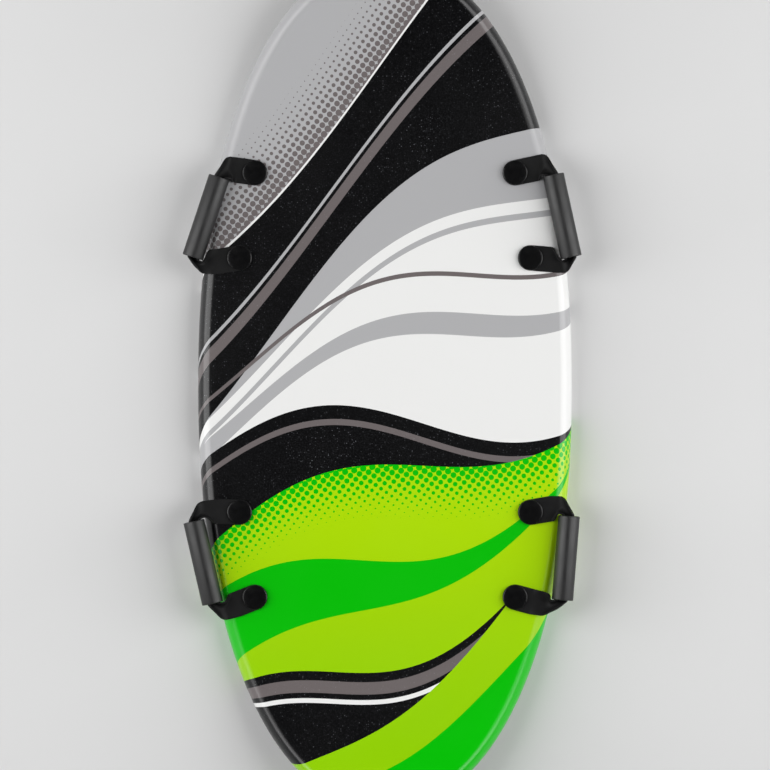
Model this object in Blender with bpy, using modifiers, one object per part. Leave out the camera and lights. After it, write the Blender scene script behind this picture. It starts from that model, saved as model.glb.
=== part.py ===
"""Foam snow sled: a long oval foam board with both ends turned up, a printed skin over its deck and rails,
a slick plastic bottom, and four strap handles, each with a grip sleeve and two screwed studs.

Metres, +Z up. The board lies on its slick bottom, centred on the origin, with its nose towards +Y."""

import math
from collections import namedtuple

import bmesh
import bpy
from mathutils import Matrix, Vector

MM = 0.001
GAP = 0.3 * MM  # between pieces that touch
MERGE = 0.00005
SHARP_ANGLE = 35  # degrees between two faces, above which their edge stays sharp
STRAP_SHARP_ANGLE = 60

# Board, seen from above: a superellipse, whose power sets how full the shoulders are
LENGTH = 1.10
WIDTH = 0.49
OUTLINE_POWER = 2.2
OUTLINE_POINTS = 84

# Board, seen in section
THICKNESS = 40 * MM
RAIL_WIDTH = 17 * MM  # how far in from the outline the deck starts to round over
RAIL_DROP = 23 * MM  # how far down that rounding reaches
RAIL_STEPS = 5
TUCK = 6 * MM  # radius under the rail
TUCK_STEPS = 3
SKIN_LIP = 0.5 * MM  # height of the skin's lower edge
SKIN_THICKNESS = 2 * MM
SHEET_THICKNESS = 1.5 * MM
SHEET_INSET = TUCK + 1 * MM
CORE_FLOOR_INSET = SHEET_INSET + 4 * MM  # the core's flat bottom stays clear of the skin's lip

# Rocker: flat in the middle, then a parabola up to each tip
FLAT_HALF = 0.295
TIP_RISE = 60 * MM

# Studs, as places on the board's right front quarter; the other quarters mirror them
TIP_STUD = (170 * MM, 277 * MM)
WAIST_STUD = (190 * MM, 166 * MM)
CAP_RADIUS = 16 * MM
CAP_HEIGHT = 3 * MM
CAP_ROUND = 1 * MM
POST_RADIUS = 6 * MM
POST_FOOT = 8 * MM  # height of the post's lower end
POST_BORE_RADIUS = 3.9 * MM
POST_BORE_TOP = 36 * MM
POST_CLEARANCE = 0.4 * MM
SCREW_RADIUS = 3.5 * MM
SCREW_TOP = 33 * MM
SCREW_HEAD_RADIUS = 15 * MM
SCREW_HEAD_FOOT = 0.6 * MM  # kept off the ground
SCREW_HEAD_HEIGHT = 2.4 * MM
SCREW_SLOT = (16 * MM, 2.4 * MM, 1.2 * MM)
HEAD_CLEARANCE = 0.5 * MM
TURNED_SIDES = 18

# Strap
STRAP_WIDTH = 33.2 * MM
STRAP_THICKNESS = 2 * MM
STRAP_LEVEL = THICKNESS + GAP + STRAP_THICKNESS / 2  # its middle, where it lies on the deck
HINGE_OUT = 22 * MM  # from the studs' line out to where the strap flexes
HINGE_LEVEL = STRAP_LEVEL + STRAP_THICKNESS / 2  # its upper face, so that it folds up without pinching
FLEX_GAP = 1.8 * MM
STRAP_STEPS = 10
STRAP_COLUMNS = 6
CURL_RADIUS = 7.2 * MM  # of the gutter that the strap makes inside the sleeve
CURL_INSET = 1.3 * MM  # how far its middle lies from the sleeve's axis, towards the board
FLATTEST = 0.001  # the least half angle of its curl, which leaves the flat end a finite radius
MOUTH_GAP = 1.2 * MM
SIDE_CLEARANCE = 2.4 * MM  # how far from the sleeve's side the strap's near edge rounds its end
RIM_CLEARANCE = 2.6 * MM  # and how far past the mouth
TURN_SHARE = 0.5  # the share of the rows that lie before the strap's turn
TURN_ROUNDING = 0.08  # how far to each side of a corner its rounding reaches, as a share of the rows

# Grip sleeve
SLEEVE_LENGTH = 110 * MM
SLEEVE_RADIUS = 14 * MM
SLEEVE_BORE_RADIUS = 10.5 * MM
SLEEVE_ROUND = 1 * MM
SLEEVE_HEIGHT = THICKNESS + 12 * MM
SLEEVE_SIDES = 28

# Each handle: side is +1 on the right, end is +1 at the nose. reach is how far the sleeve's middle stands out
# from the studs' line, shift how far it lies towards the nose, and splay turns its tail end outwards.
Handle = namedtuple("Handle", "side end reach shift splay")
HANDLES = {
    "front_left": Handle(-1, 1, 51.9 * MM, -12.3 * MM, math.radians(8.1)),
    "front_right": Handle(1, 1, 49.9 * MM, -10.3 * MM, math.radians(2.1)),
    "rear_left": Handle(-1, -1, 57.6 * MM, 0.7 * MM, math.radians(-2.7)),
    "rear_right": Handle(1, -1, 55.4 * MM, 6.1 * MM, math.radians(5.6)),
}
ENDS = {"fore": 1, "aft": -1}

# How each end of a strap lies: it leaves its stud towards a point on the sleeve's axis, past the mouth by
# past. Its near and far edges turn to the sleeve at near and far, out from the studs' line, by when the far
# edge has drawn in by draw.
Lie = namedtuple("Lie", "past near far draw")
LIES = {
    ("front_left", 1): Lie(12 * MM, 27.5 * MM, 39.5 * MM, 0.8 * MM),
    ("front_left", -1): Lie(11 * MM, 42 * MM, 43 * MM, 4.5 * MM),
    ("front_right", 1): Lie(12 * MM, 30 * MM, 43.5 * MM, 0 * MM),
    ("front_right", -1): Lie(4 * MM, 31 * MM, 43.5 * MM, 0.8 * MM),
    ("rear_left", 1): Lie(12 * MM, 34 * MM, 50 * MM, 4.0 * MM),
    ("rear_left", -1): Lie(12 * MM, 33 * MM, 45 * MM, 3.0 * MM),
    ("rear_right", 1): Lie(12 * MM, 33 * MM, 38 * MM, 3.5 * MM),
    ("rear_right", -1): Lie(12 * MM, 44 * MM, 40 * MM, 3.0 * MM),
}


def material(name, color, roughness, metallic=0.0):
    mat = bpy.data.materials.new(name)
    mat.use_nodes = True
    shader = mat.node_tree.nodes["Principled BSDF"]
    shader.inputs["Base Color"].default_value = (*color, 1)
    shader.inputs["Roughness"].default_value = roughness
    shader.inputs["Metallic"].default_value = metallic
    return mat


def add_object(name, data, collection, mat=None, location=(0, 0, 0), rotation_z=0.0, parent=None):
    obj = bpy.data.objects.new(name, data)
    collection.objects.link(obj)
    if mat and not data.materials:
        data.materials.append(mat)
    obj.location = location
    obj.rotation_euler.z = rotation_z
    obj.parent = parent
    return obj


def cutter(name, data, collection, location=(0, 0, 0), rotation_z=0.0):
    obj = add_object(name, data, collection, None, location, rotation_z)
    obj.hide_render = True
    obj.display_type = "WIRE"
    return obj


def cut(obj, tool):
    boolean = obj.modifiers.new(tool.name, "BOOLEAN")
    boolean.operation = "DIFFERENCE"
    boolean.object = tool


def to_mesh(bm, name):
    mesh = bpy.data.meshes.new(name)
    bm.to_mesh(mesh)
    bm.free()
    return mesh


def outline_point(index, inset):
    """A point on the board's outline, moved straight inwards. The points straddle both tips."""
    angle = (index + 0.5) * 2 * math.pi / OUTLINE_POINTS
    across, along = math.sin(angle), math.cos(angle)
    half = Vector((WIDTH / 2, LENGTH / 2))
    unit = Vector(
        math.copysign(abs(c) ** (2 / OUTLINE_POWER), c) for c in (across, along)
    )
    outward = Vector(
        math.copysign(abs(c) ** (OUTLINE_POWER - 1), c) / h for c, h in zip(unit, half)
    )
    return Vector((unit.x * half.x, unit.y * half.y)) - outward.normalized() * inset


def rocker(y):
    past = max(abs(y) - FLAT_HALF, 0) / (LENGTH / 2 - FLAT_HALF)
    return TIP_RISE * past**2


def rail_profile(depth):
    """(inset, height) from the lip under the rail up to the deck, at a depth inside the skin's surface."""
    points = []
    for step in range(TUCK_STEPS + 1):
        angle = math.pi / 2 * step / TUCK_STEPS
        radius = TUCK - depth
        inset, height = TUCK - radius * math.sin(angle), TUCK - radius * math.cos(angle)
        points.append((inset, SKIN_LIP + height))
    for step in range(RAIL_STEPS + 1):
        angle = math.pi / 2 * step / RAIL_STEPS
        inset = RAIL_WIDTH - (RAIL_WIDTH - depth) * math.cos(angle)
        height = THICKNESS - RAIL_DROP + (RAIL_DROP - depth) * math.sin(angle)
        points.append((inset, height))
    return points


def add_ring(bm, inset, height):
    return [
        bm.verts.new((*outline_point(i, inset), height)) for i in range(OUTLINE_POINTS)
    ]


def add_wall(bm, lower, upper):
    for i in range(OUTLINE_POINTS):
        j = (i + 1) % OUTLINE_POINTS
        bm.faces.new((lower[i], upper[i], upper[j], lower[j]))


def add_rungs(bm, ring, upwards=True):
    """Fill a ring with strips from side to side, which the rocker can bend."""
    for i in range(OUTLINE_POINTS // 2 - 1):
        strip = [ring[i], ring[-1 - i], ring[-2 - i], ring[i + 1]]
        bm.faces.new(strip if upwards else reversed(strip))


def bend_to_rocker(obj):
    """Apply the object's modifiers, and lift its ends."""
    evaluated = obj.evaluated_get(bpy.context.evaluated_depsgraph_get())
    mesh = bpy.data.meshes.new_from_object(evaluated)
    obj.modifiers.clear()
    obj.data = mesh
    for vertex in mesh.vertices:
        vertex.co.z += rocker(vertex.co.y)


def smooth(mesh, degrees=SHARP_ANGLE):
    mesh.shade_smooth()
    mesh.set_sharp_from_angle(angle=math.radians(degrees))


def solidify(obj, thickness, offset, even=True):
    modifier = obj.modifiers.new("Thickness", "SOLIDIFY")
    modifier.thickness = thickness
    modifier.offset = offset
    modifier.use_even_offset = even


def foam_core(parts, mat):
    depth = SKIN_THICKNESS + GAP
    floor = SHEET_THICKNESS + GAP
    bm = bmesh.new()
    ring = add_ring(bm, CORE_FLOOR_INSET, floor)
    add_rungs(bm, ring, upwards=False)
    for inset, height in rail_profile(depth):
        upper = add_ring(bm, inset, height)
        add_wall(bm, ring, upper)
        ring = upper
    add_rungs(bm, ring)
    core = add_object("foam_core", to_mesh(bm, "foam_core"), parts, mat)
    bend_to_rocker(core)
    smooth(core.data)
    return core


def deck_skin(parts, mat):
    bm = bmesh.new()
    ring = None
    for inset, height in rail_profile(0):
        upper = add_ring(bm, inset, height)
        if ring:
            add_wall(bm, ring, upper)
        ring = upper
    add_rungs(bm, ring)
    skin = add_object("deck_skin", to_mesh(bm, "deck_skin"), parts, mat)
    solidify(skin, SKIN_THICKNESS, -1)
    bend_to_rocker(skin)
    smooth(skin.data)
    return skin


def slick_bottom(parts, mat):
    bm = bmesh.new()
    add_rungs(bm, add_ring(bm, SHEET_INSET, SHEET_THICKNESS))
    sheet = add_object("slick_bottom", to_mesh(bm, "slick_bottom"), parts, mat)
    solidify(sheet, SHEET_THICKNESS, -1)
    bend_to_rocker(sheet)
    smooth(sheet.data)
    return sheet


def cylinder(name, radius, low, high):
    bm = bmesh.new()
    bmesh.ops.create_cone(
        bm,
        cap_ends=True,
        segments=TURNED_SIDES,
        radius1=radius,
        radius2=radius,
        depth=high - low,
        matrix=Matrix.Translation((0, 0, (low + high) / 2)),
    )
    return to_mesh(bm, name)


def turned(obj, steps):
    screw = obj.modifiers.new("Turn", "SCREW")
    screw.steps = screw.render_steps = steps
    screw.use_merge_vertices = True
    screw.merge_threshold = MERGE
    screw.use_smooth_shade = True


def profile_mesh(name, points, closed=False):
    """A profile in the XZ plane, from its top down the outer side."""
    edges = [(i, i + 1) for i in range(len(points) - 1)]
    if closed:
        edges.append((len(points) - 1, 0))
    mesh = bpy.data.meshes.new(name)
    mesh.from_pydata([(r, 0, z) for r, z in points], edges, [])
    return mesh


def cap_profile():
    """The stud's upper half: a flat round button with a hollow post, in heights above the ground."""
    under = THICKNESS + STRAP_THICKNESS + 2 * GAP
    top = under + CAP_HEIGHT
    return [
        (0, top),
        (CAP_RADIUS - CAP_ROUND, top),
        (CAP_RADIUS, top - CAP_ROUND),
        (CAP_RADIUS, under),
        (POST_RADIUS, under),
        (POST_RADIUS, POST_FOOT),
        (POST_BORE_RADIUS, POST_FOOT),
        (POST_BORE_RADIUS, POST_BORE_TOP),
        (0, POST_BORE_TOP),
    ]


def screw_profile():
    """The stud's lower half: a screw up into the post, with a wide flat head let into the bottom."""
    chamfer = 1 * MM
    head_top = SCREW_HEAD_FOOT + SCREW_HEAD_HEIGHT
    return [
        (0, SCREW_TOP),
        (SCREW_RADIUS - chamfer, SCREW_TOP),
        (SCREW_RADIUS, SCREW_TOP - chamfer),
        (SCREW_RADIUS, head_top),
        (SCREW_HEAD_RADIUS, head_top),
        (SCREW_HEAD_RADIUS, SCREW_HEAD_FOOT + chamfer),
        (SCREW_HEAD_RADIUS - chamfer, SCREW_HEAD_FOOT),
        (0, SCREW_HEAD_FOOT),
    ]


def stud_place(handle, end):
    """A stud's place on the board. The tip stud is the fore one at the nose and the aft one at the tail."""
    across, along = TIP_STUD if end == handle.end else WAIST_STUD
    return Vector((handle.side * across, handle.end * along))


def handle_frame(handle):
    """The middle of the two studs, the turn of their line from +Y, and the distance between them."""
    fore, aft = stud_place(handle, 1), stud_place(handle, -1)
    line = fore - aft
    return (fore + aft) / 2, math.atan2(-line.x, line.y), line.length


# In a handle's own plan, u runs outwards from the studs' line and v towards the nose.
def sleeve_axis(handle):
    return Vector((-math.sin(handle.splay), math.cos(handle.splay)))


def strap_frame(handle, end, stud_spacing, lie):
    """(stud, mouth, aim, across): where one end of the strap starts and where it enters the sleeve, the
    direction in which it leaves its stud, and the direction across it, away from the handle's middle."""
    stud = Vector((0, end * stud_spacing / 2))
    axis = sleeve_axis(handle)
    middle = Vector((handle.reach, handle.shift))
    mouth = middle + axis * end * (SLEEVE_LENGTH / 2 + MOUTH_GAP)
    aim = (mouth + axis * end * lie.past - stud).normalized()
    across = Vector((-aim.y, aim.x)) * end
    return stud, mouth, aim, across


def along(points, share):
    """The point that is a share of the way along a line of points."""
    lengths = [(b - a).length for a, b in zip(points, points[1:])]
    left = share * sum(lengths)
    for a, b, length in zip(points, points[1:], lengths):
        if left <= length:
            return a.lerp(b, left / length)
        left -= length
    return points[-1]


def on_edge(before, after, t):
    """A point on a strap's edge, from the two lines of points before and after its turn."""

    def sharp(t):
        if t < TURN_SHARE:
            return along(before, t / TURN_SHARE)
        return along(after, (t - TURN_SHARE) / (1 - TURN_SHARE))

    reach = min(t, 1 - t, TURN_ROUNDING)
    return (sharp(t - reach) + sharp(t) * 2 + sharp(t + reach)) / 4


def half_curl(chord):
    """Half the angle of an arc as long as the strap is wide, over a chord."""
    flat, shut = FLATTEST, math.pi
    while shut - flat > FLATTEST / 10:
        angle = (flat + shut) / 2
        if math.sin(angle) / angle > chord / STRAP_WIDTH:
            flat = angle
        else:
            shut = angle
    return flat


def at_hinge(start, aim, out):
    return start + aim * ((out - start.x) / aim.x)


def strap_rows(handle, end, stud_spacing, lie):
    """Points across the strap, row by row, from its flex line to the sleeve's mouth. The strap is flat at
    first, and curls up into a gutter as its near and far edges turn into the mouth."""
    stud, mouth, aim, across = strap_frame(handle, end, stud_spacing, lie)
    past_mouth = sleeve_axis(handle) * end
    outwards = Vector((sleeve_axis(handle).y, -sleeve_axis(handle).x))
    full_curl = STRAP_WIDTH / CURL_RADIUS / 2
    half_chord = outwards * CURL_RADIUS * math.sin(full_curl)
    near_side, far_side = (stud + across * sign * STRAP_WIDTH / 2 for sign in (-1, 1))
    beside_rim = mouth - outwards * (SLEEVE_RADIUS + SIDE_CLEARANCE) + past_mouth * RIM_CLEARANCE
    near_start, near_turn = (at_hinge(near_side, aim, out) for out in (HINGE_OUT, lie.near))
    far_start, far_turn = (at_hinge(far_side, aim, out) for out in (HINGE_OUT, lie.far))
    far_turn -= across * lie.draw
    curl_middle = mouth - outwards * CURL_INSET
    edges = [
        ([near_start, near_turn], [near_turn, beside_rim, curl_middle - half_chord]),
        ([far_start, far_turn], [far_turn, curl_middle + half_chord]),
    ]
    rows = []
    for step in range(STRAP_STEPS + 1):
        near, far = (on_edge(*edge, step / STRAP_STEPS) for edge in edges)
        chord = far - near
        half_angle = half_curl(chord.length)
        radius = chord.length / 2 / math.sin(half_angle)
        rise = (SLEEVE_HEIGHT - CURL_RADIUS - STRAP_LEVEL) * (half_angle / full_curl) ** 2
        low = STRAP_LEVEL + rise
        row = []
        for column in range(STRAP_COLUMNS + 1):
            angle = half_angle * (2 * column / STRAP_COLUMNS - 1)
            plan = (near + far) / 2 + chord.normalized() * radius * math.sin(angle)
            row.append((plan, low + radius * (1 - math.cos(angle))))
        rows.append(row)
    return rows


def strap_loop(handle_name, handle, stud_spacing, hinge, parts, mat):
    """The strap from one flex line through the sleeve to the other, in the hinge's own frame."""
    name = f"strap_loop_{handle_name}"
    rows = strap_rows(handle, 1, stud_spacing, LIES[handle_name, 1])
    rows += reversed(strap_rows(handle, -1, stud_spacing, LIES[handle_name, -1]))
    bm = bmesh.new()
    grid = [
        [
            bm.verts.new((handle.side * (plan.x - HINGE_OUT), plan.y, z - HINGE_LEVEL))
            for plan, z in row
        ]
        for row in rows
    ]
    for above, below in zip(grid, grid[1:]):
        for k in range(STRAP_COLUMNS):
            bm.faces.new((above[k], above[k + 1], below[k + 1], below[k]))
    strap = add_object(name, to_mesh(bm, name), parts, mat, parent=hinge)
    smooth(strap.data, STRAP_SHARP_ANGLE)
    solidify(strap, STRAP_THICKNESS, 0, even=False)


def strap_end(name, handle, end, frame, lie, parts, mat):
    """The flat end of the strap under a cap, from its round tip to the flex line, with the post's hole."""
    _, turn, stud_spacing = frame
    stud, _, aim, across = strap_frame(handle, end, stud_spacing, lie)
    half = STRAP_WIDTH / 2
    steps = TURNED_SIDES // 2
    around = [math.pi * (0.5 + step / steps) for step in range(steps + 1)]
    tip = [(aim * math.cos(a) + across * math.sin(a)) * half for a in around]
    cut_line = HINGE_OUT - FLEX_GAP
    corners = [at_hinge(across * sign * half, aim, cut_line) for sign in (-1, 1)]
    hole_radius = POST_RADIUS + POST_CLEARANCE
    hole = [
        Vector((math.cos(a), math.sin(a))) * hole_radius
        for a in (2 * math.pi * k / TURNED_SIDES for k in range(TURNED_SIDES))
    ]
    curve = bpy.data.curves.new(name, "CURVE")
    curve.dimensions = "2D"
    curve.fill_mode = "BOTH"
    curve.extrude = STRAP_THICKNESS / 2
    for loop in (tip + corners, hole):
        spline = curve.splines.new("POLY")
        spline.points.add(len(loop) - 1)
        for point, place in zip(spline.points, loop):
            point.co = (handle.side * place.x, place.y, 0, 1)
        spline.use_cyclic_u = True
    place = (*stud_place(handle, end), STRAP_LEVEL)
    add_object(name, curve, parts, mat, place, turn)


def grip_sleeve(name, handle, hinge, parts, mat):
    """The loose tube on the strap, with its origin on its own axis."""
    top = SLEEVE_LENGTH / 2
    rim = SLEEVE_ROUND
    outer, bore = SLEEVE_RADIUS, SLEEVE_BORE_RADIUS
    half = [(bore, top - rim), (bore + rim / 2, top), (outer - rim, top), (outer, top - rim)]
    profile = half + [(r, -z) for r, z in reversed(half)]
    sleeve = add_object(name, profile_mesh(name, profile, closed=True), parts, mat, parent=hinge)
    turned(sleeve, SLEEVE_SIDES)
    out = handle.side * (handle.reach - HINGE_OUT)
    sleeve.location = (out, handle.shift, SLEEVE_HEIGHT - HINGE_LEVEL)
    sleeve.rotation_euler = (-math.pi / 2, 0, handle.side * handle.splay)


def studs(handle_name, handle, meshes, board, parts, cutters, mat):
    """Both studs of a handle, and their holes through the board."""
    core, skin, sheet = board
    for end_name, end in ENDS.items():
        place = (*stud_place(handle, end), 0)
        label = f"{handle_name}_{end_name}"
        cap = add_object(f"stud_cap_{label}", meshes["cap"], parts, mat, place)
        turned(cap, TURNED_SIDES)
        screw = add_object(f"stud_screw_{label}", meshes["screw"], parts, mat, place)
        turned(screw, TURNED_SIDES)
        turn = handle_frame(handle)[1]
        cut(screw, cutter(f"slot_{label}", meshes["slot"], cutters, place, turn))
        post_hole = cutter(f"post_hole_{label}", meshes["post_hole"], cutters, place)
        cut(skin, post_hole)
        cut(core, post_hole)
        head_hole = cutter(f"head_hole_{label}", meshes["head_hole"], cutters, place)
        cut(sheet, head_hole)
        cut(core, head_hole)


def slot_mesh():
    length, width, depth = SCREW_SLOT
    bm = bmesh.new()
    bmesh.ops.create_cube(bm, size=1)
    bmesh.ops.scale(bm, vec=(length, width, 2 * depth), verts=bm.verts)
    bmesh.ops.translate(bm, vec=(0, 0, SCREW_HEAD_FOOT), verts=bm.verts)
    return to_mesh(bm, "slot")


def main():
    for obj in list(bpy.data.objects):
        bpy.data.objects.remove(obj)
    parts = bpy.data.collections.new("foam_sled")
    cutters = bpy.data.collections.new("cutters")
    for collection in (parts, cutters):
        bpy.context.scene.collection.children.link(collection)

    foam = material("foam", (0.75, 0.75, 0.73), 0.9)
    print_film = material("print_film", (0.62, 0.78, 0.08), 0.38)
    slick = material("slick", (0.02, 0.02, 0.022), 0.22)
    strap_web = material("strap_web", (0.016, 0.016, 0.016), 0.55)
    grip = material("grip", (0.05, 0.05, 0.055), 0.35)
    stud = material("stud", (0.005, 0.005, 0.006), 0.4)

    board = foam_core(parts, foam), deck_skin(parts, print_film), slick_bottom(parts, slick)
    head_top = SCREW_HEAD_FOOT + SCREW_HEAD_HEIGHT + GAP
    meshes = {
        "cap": profile_mesh("stud_cap", cap_profile()),
        "screw": profile_mesh("stud_screw", screw_profile()),
        "slot": slot_mesh(),
        "post_hole": cylinder(
            "post_hole", POST_RADIUS + POST_CLEARANCE, head_top - GAP, THICKNESS + TUCK
        ),
        "head_hole": cylinder(
            "head_hole", SCREW_HEAD_RADIUS + HEAD_CLEARANCE, -TUCK, head_top
        ),
    }
    for name, handle in HANDLES.items():
        frame = middle, turn, stud_spacing = handle_frame(handle)
        out = Vector((handle.side * HINGE_OUT, 0)) @ Matrix.Rotation(-turn, 2)
        place = (*(middle + out), HINGE_LEVEL)
        hinge = add_object(f"hinge_{name}", None, parts, None, place, turn)
        strap_loop(name, handle, stud_spacing, hinge, parts, strap_web)
        grip_sleeve(f"grip_sleeve_{name}", handle, hinge, parts, grip)
        for end_name, end in ENDS.items():
            lie = LIES[name, end]
            strap_end(f"strap_end_{name}_{end_name}", handle, end, frame, lie, parts, strap_web)
        studs(name, handle, meshes, board, parts, cutters, stud)


main()
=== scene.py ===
"""Looks of the foam sled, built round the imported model.

Metres, +Z up. The board lies on its slick bottom, centred on the origin, with its nose towards +Y."""

import math
from collections import namedtuple

import bmesh
import bpy
from mathutils import Matrix, Vector


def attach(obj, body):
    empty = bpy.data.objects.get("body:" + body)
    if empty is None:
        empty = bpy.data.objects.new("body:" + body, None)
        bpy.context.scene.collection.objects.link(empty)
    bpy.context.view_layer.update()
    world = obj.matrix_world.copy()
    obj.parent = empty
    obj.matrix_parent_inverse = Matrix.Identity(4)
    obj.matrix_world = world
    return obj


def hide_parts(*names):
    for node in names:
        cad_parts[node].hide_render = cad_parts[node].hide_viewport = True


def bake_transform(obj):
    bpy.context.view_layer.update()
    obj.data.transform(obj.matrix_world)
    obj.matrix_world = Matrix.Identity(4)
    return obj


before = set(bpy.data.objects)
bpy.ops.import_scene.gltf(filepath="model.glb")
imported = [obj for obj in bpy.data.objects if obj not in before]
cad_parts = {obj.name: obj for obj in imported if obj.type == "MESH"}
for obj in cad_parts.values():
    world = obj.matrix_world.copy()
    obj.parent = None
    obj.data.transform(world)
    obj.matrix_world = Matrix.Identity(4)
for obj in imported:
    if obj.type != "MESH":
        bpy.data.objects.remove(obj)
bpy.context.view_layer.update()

MM = 0.001
GAP = 0.3 * MM

# Board, as in the CAD, with more points
LENGTH = 1.10
WIDTH = 0.49
OUTLINE_POWER = 2.2
OUTLINE_POINTS = 320
DECK_COLUMNS = 48
THICKNESS = 40 * MM
RAIL_WIDTH = 17 * MM
RAIL_DROP = 23 * MM
RAIL_STEPS = 14
TUCK = 6 * MM
TUCK_STEPS = 5
SKIN_LIP = 0.5 * MM
SKIN_THICKNESS = 2 * MM
SHEET_THICKNESS = 1.5 * MM
SHEET_INSET = TUCK + 1 * MM
SHEET_ROUND = 0.4 * MM
FLAT_HALF = 0.295
TIP_RISE = 60 * MM

# The pull of each stud leaves a shallow dish in the foam
DISH_DEPTH = 0.7 * MM
DISH_RADIUS = 24 * MM

# Studs, as places on the board's right front quarter
TIP_STUD = (170 * MM, 277 * MM)
WAIST_STUD = (190 * MM, 166 * MM)
CAP_RADIUS = 16 * MM
CAP_HEIGHT = 3 * MM
CAP_ROUND = 0.9 * MM
CAP_CROWN = 0.3 * MM  # how much the cap's middle stands above its rim
CAP_FOOT_ROUND = 0.4 * MM
POST_RADIUS = 6 * MM
POST_FOOT = 8 * MM
POST_BORE_RADIUS = 3.9 * MM
POST_BORE_TOP = 36 * MM
POST_CLEARANCE = 0.4 * MM
SCREW_RADIUS = 3.5 * MM
SCREW_TOP = 33 * MM
SCREW_HEAD_RADIUS = 15 * MM
SCREW_HEAD_FOOT = 0.6 * MM
SCREW_HEAD_HEIGHT = 2.4 * MM
SCREW_HEAD_ROUND = 1 * MM
SCREW_SLOT = (16 * MM, 2.4 * MM, 1.2 * MM)
HEAD_CLEARANCE = 0.5 * MM
TURNED_SIDES = 72
FILLET_STEPS = 4
SHARP_EDGE = math.radians(60)  # edges that turn by more are rounded

# Strap
STRAP_WIDTH = 33.2 * MM
STRAP_THICKNESS = 2 * MM
STRAP_ROUND = 0.55 * MM
STRAP_LEVEL = THICKNESS + GAP + STRAP_THICKNESS / 2
HINGE_OUT = 22 * MM
CLAMPED_OUT = 14 * MM  # the strap's flat end reaches out this far, and it bends beyond
BEND_START, BEND_END = 17 * MM, 27 * MM
BEND_ROWS = 7
STRAP_STEPS = 30
STRAP_COLUMNS = 16
TIP_STEPS = 22
SLEEVE_ROWS = 5
CURL_RADIUS = 7.2 * MM
CURL_INSET = 1.3 * MM
FLATTEST = 0.001
MOUTH_GAP = 1.2 * MM
SIDE_CLEARANCE = 2.4 * MM
RIM_CLEARANCE = 2.6 * MM
TURN_SHARE = 0.5
TURN_ROUNDING = 0.12
ROUNDING_STEPS = 4
CURL_EASING = 12
EASED_STEPS = 20

# Grip sleeve
SLEEVE_LENGTH = 110 * MM
SLEEVE_RADIUS = 14 * MM
SLEEVE_BORE_RADIUS = 10.5 * MM
SLEEVE_ROUND = 1.1 * MM
SLEEVE_BORE_ROUND = 0.5 * MM
SLEEVE_HEIGHT = THICKNESS + 12 * MM

Handle = namedtuple("Handle", "side end reach shift splay")
HANDLES = {
    "front_left": Handle(-1, 1, 51.9 * MM, -12.3 * MM, math.radians(8.1)),
    "front_right": Handle(1, 1, 49.9 * MM, -10.3 * MM, math.radians(2.1)),
    "rear_left": Handle(-1, -1, 57.6 * MM, 0.7 * MM, math.radians(-2.7)),
    "rear_right": Handle(1, -1, 55.4 * MM, 6.1 * MM, math.radians(5.6)),
}
ENDS = {"fore": 1, "aft": -1}

# How each end of a strap lies: it leaves its stud towards a point on the sleeve's axis, past the mouth by
# past. Its near and far edges turn to the sleeve at near and far, out from the studs' line, by when the far
# edge has drawn in by draw.
Lie = namedtuple("Lie", "past near far draw")
LIES = {
    ("front_left", 1): Lie(12 * MM, 27.5 * MM, 39.5 * MM, 0.8 * MM),
    ("front_left", -1): Lie(11 * MM, 42 * MM, 43 * MM, 4.5 * MM),
    ("front_right", 1): Lie(12 * MM, 30 * MM, 43.5 * MM, 0 * MM),
    ("front_right", -1): Lie(4 * MM, 31 * MM, 43.5 * MM, 0.8 * MM),
    ("rear_left", 1): Lie(12 * MM, 34 * MM, 50 * MM, 4.0 * MM),
    ("rear_left", -1): Lie(12 * MM, 33 * MM, 45 * MM, 3.0 * MM),
    ("rear_right", 1): Lie(12 * MM, 33 * MM, 38 * MM, 3.5 * MM),
    ("rear_right", -1): Lie(12 * MM, 44 * MM, 40 * MM, 3.0 * MM),
}

# Deck print: inks, as linear colours
WHITE = (0.84, 0.84, 0.83)
SILVER = (0.43, 0.43, 0.44)
GREY = (0.15, 0.13, 0.13)
BLACK = (0.0008, 0.0008, 0.0011)
LIME = (0.43, 0.72, 0.0)
DEEP_LIME = (0.28, 0.61, 0.0)
GREEN = (0.0, 0.51, 0.0)

# Deck print: each wave runs across the board, as height at the middle, slope, swing, length and phase
WAVES = {
    "silver_edge": (0.420, 1.02, 0.034, 0.60, 0.02),
    "nose_stripe": (0.300, 0.95, 0.045, 0.70, 0.10),
    "nose_black_edge": (0.185, 0.80, 0.060, 0.66, 0.22),
    "white_edge": (0.130, 0.60, 0.050, 0.66, 0.22),
    "band_top": (0.045, 0.40, 0.045, 0.60, 0.30),
    "band_foot": (0.018, 0.44, 0.050, 0.62, 0.33),
    "belt_top": (-0.062, 0.22, 0.055, 0.64, 0.42),
    "belt_foot": (-0.128, 0.44, 0.050, 0.64, 0.42),
    "green_top": (-0.215, 0.46, 0.050, 0.60, 0.55),
    "green_foot": (-0.275, 0.66, 0.045, 0.60, 0.55),
    "tail_black_edge": (-0.340, 0.52, 0.050, 0.55, 0.62),
    "tail_lime_edge": (-0.410, 0.85, 0.040, 0.55, 0.66),
    "tail_green_edge": (-0.462, 0.60, 0.040, 0.55, 0.70),
}
DOT_PITCH = 8.5 * MM
DOT_TURN = 0.6
# The dots' largest radius in shares of the pitch, and how far towards the nose they reach from their wave
NOSE_DOTS = (0.55, 0.13)
BELT_DOTS = (0.52, -0.075)

# Film: painted glints of its embossed cells and a painted sparkle of its grain show in the dark inks, up to
# the first brightness and in full below the second.
# Round the rails it grows glossier from the first inset to the second.
DARK_INK = (0.25, 0.05)
PAINTED_GLINT = (0.150, 0.155, 0.170)
PAINTED_GRAIN_SPARKLE = (0.0070, 0.0071, 0.0078)
GLOSSY_RAIL = (19 * MM, 14 * MM)
RAIL_COAT = 0.5

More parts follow.
